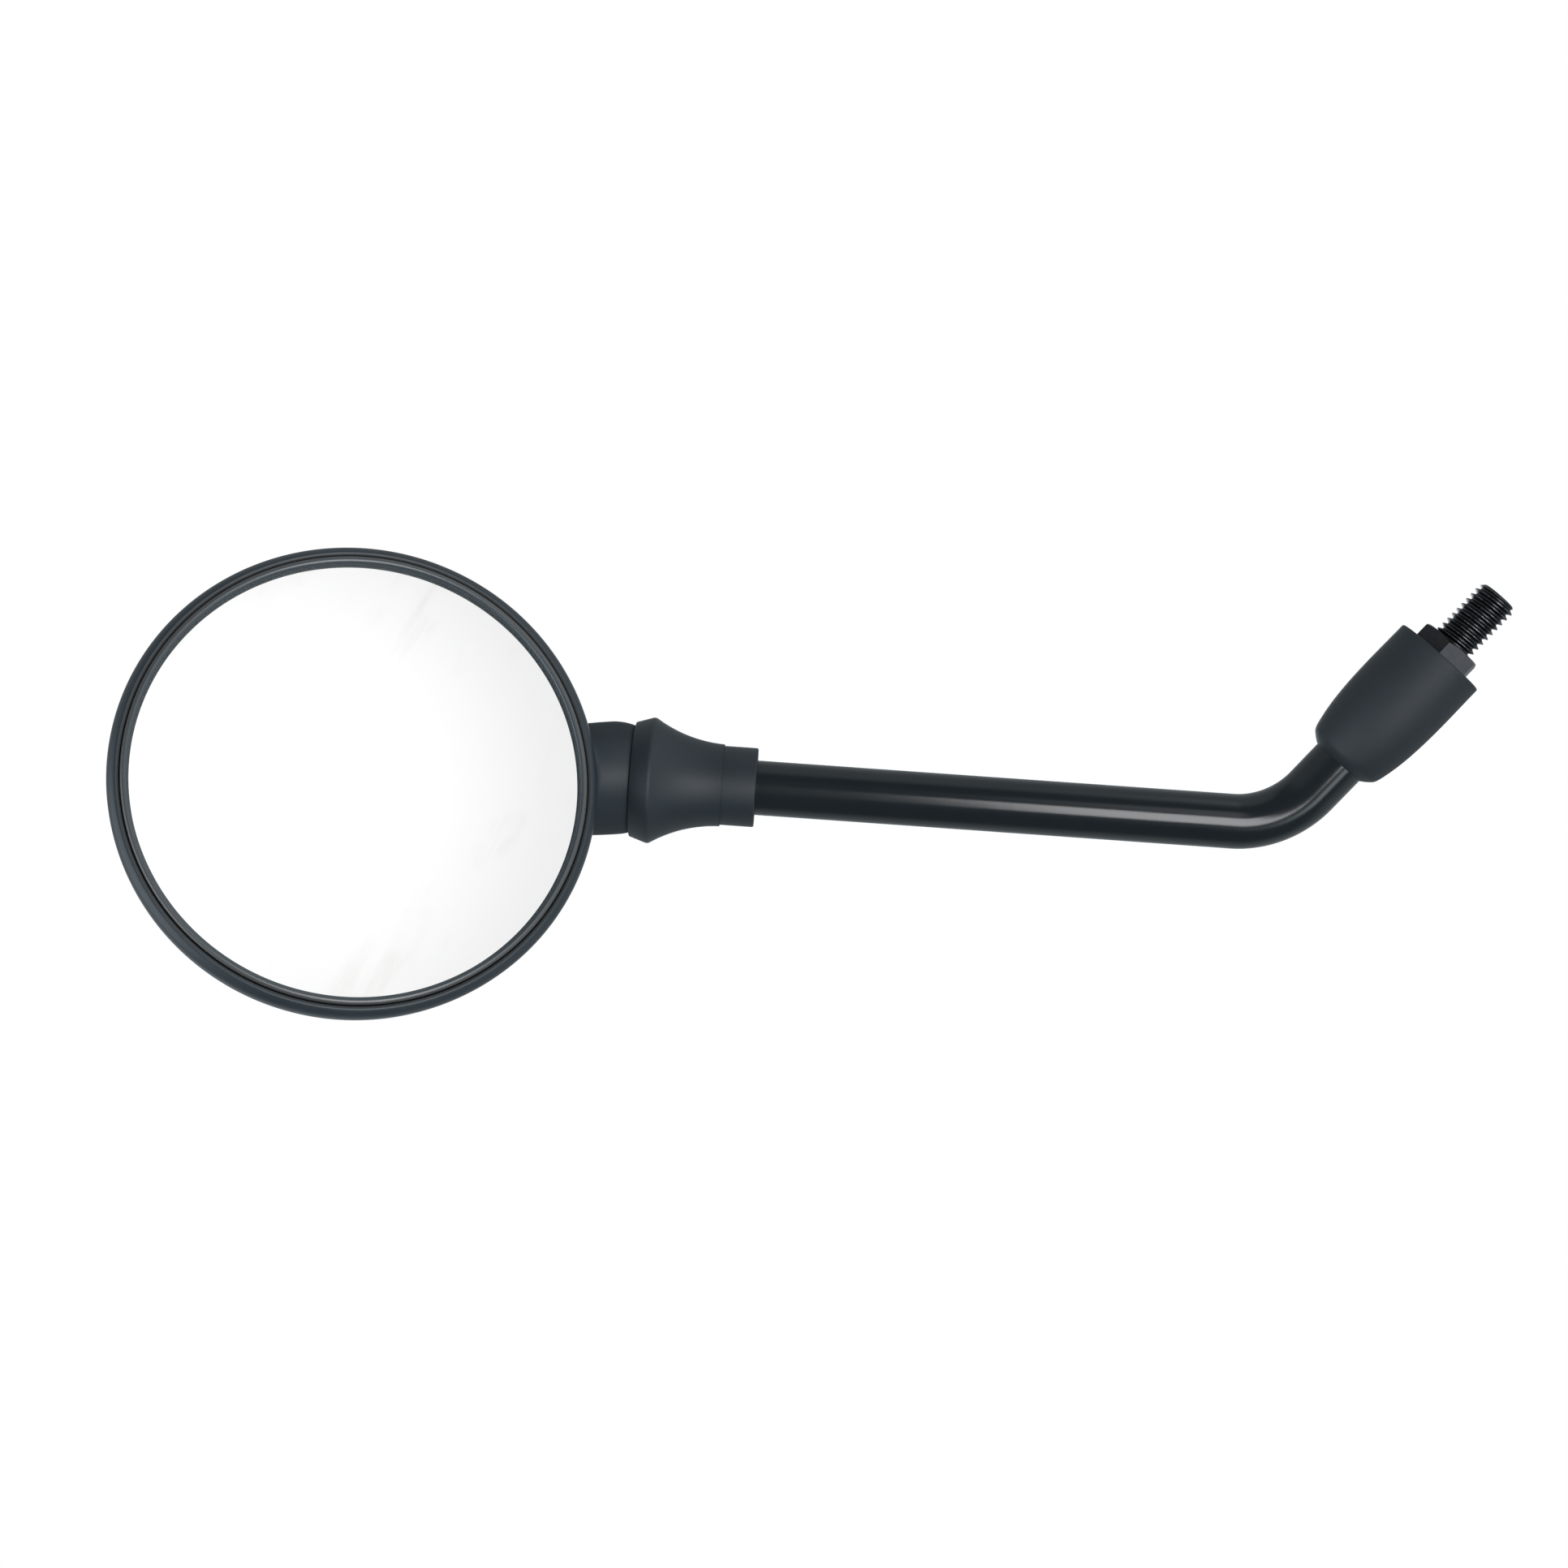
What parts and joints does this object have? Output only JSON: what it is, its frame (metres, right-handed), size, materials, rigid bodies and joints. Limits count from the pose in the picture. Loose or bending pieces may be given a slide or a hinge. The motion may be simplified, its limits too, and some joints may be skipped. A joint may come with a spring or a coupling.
{
  "type": "motorcycle mirror",
  "caption": "Round convex motorcycle mirror on a bent gloss black stem, with a beaded plastic housing, a rubber-booted ball joint and a threaded stud below a rubber dust cover.",
  "frame": {"origin": "centre of the seat face where the stud leaves the hex of the adapter", "axes": "-Z along the stud towards its tip, +X the way the stem bends, -Y the way the glass looks"},
  "size_m": [0.234, 0.0791, 0.2419],
  "materials": {
    "black_plated_steel": "black plating, satin",
    "gloss_black_paint": "gloss black paint",
    "bare_steel": "turned steel",
    "spring_steel": "phosphated spring steel",
    "black_rubber": "matte moulded rubber",
    "natural_acetal": "smooth low friction plastic",
    "black_housing_plastic": "satin moulded plastic",
    "convex_mirror": "clear convex mirror",
    "black_foam": "closed cell foam"
  },
  "bodies": {
    "base": {"base_adapter": "black_plated_steel"},
    "stem": {"lock_nut": "black_plated_steel", "stem_end": "bare_steel", "stem_tube": "gloss_black_paint", "base_cover": "black_rubber", "ball_stud": "bare_steel", "joint_boot": "black_rubber"},
    "liner_ring": {"ball_liner_outer": "natural_acetal"},
    "liner_cup": {"ball_liner_inner": "natural_acetal"},
    "head": {"mirror_housing": "black_housing_plastic", "bezel_ring": "black_housing_plastic", "mirror_glass": "convex_mirror", "glass_pad": "black_foam", "retainer_ring": "bare_steel", "snap_ring": "spring_steel", "thrust_seat": "bare_steel", "disc_spring_1": "spring_steel", "disc_spring_2": "spring_steel", "disc_spring_3": "spring_steel", "disc_spring_4": "spring_steel"}
  },
  "joints": [
    {"name": "base_swivel", "type": "hinge", "parent": "base", "child": "stem", "pos_m": [0, 0, 0], "axis": [0, 0, 1], "range_deg": [-180, 180]},
    {"name": "head_pan", "type": "hinge", "parent": "stem", "child": "liner_ring", "pos_m": [0.12507, 0, 0.15134], "axis": [-0.6018, 0, 0.7986], "range_deg": [-4.4, 43.6]},
    {"name": "head_lean", "type": "hinge", "parent": "liner_ring", "child": "liner_cup", "pos_m": [0.12507, 0, 0.15134], "axis": [-0.2679, -0.9421, -0.2019], "range_deg": [-14.6, 9.4]},
    {"name": "head_roll", "type": "hinge", "parent": "liner_cup", "child": "head", "pos_m": [0.12507, 0, 0.15134], "axis": [0.7243, -0.3351, 0.6026], "continuous": true}
  ]
}
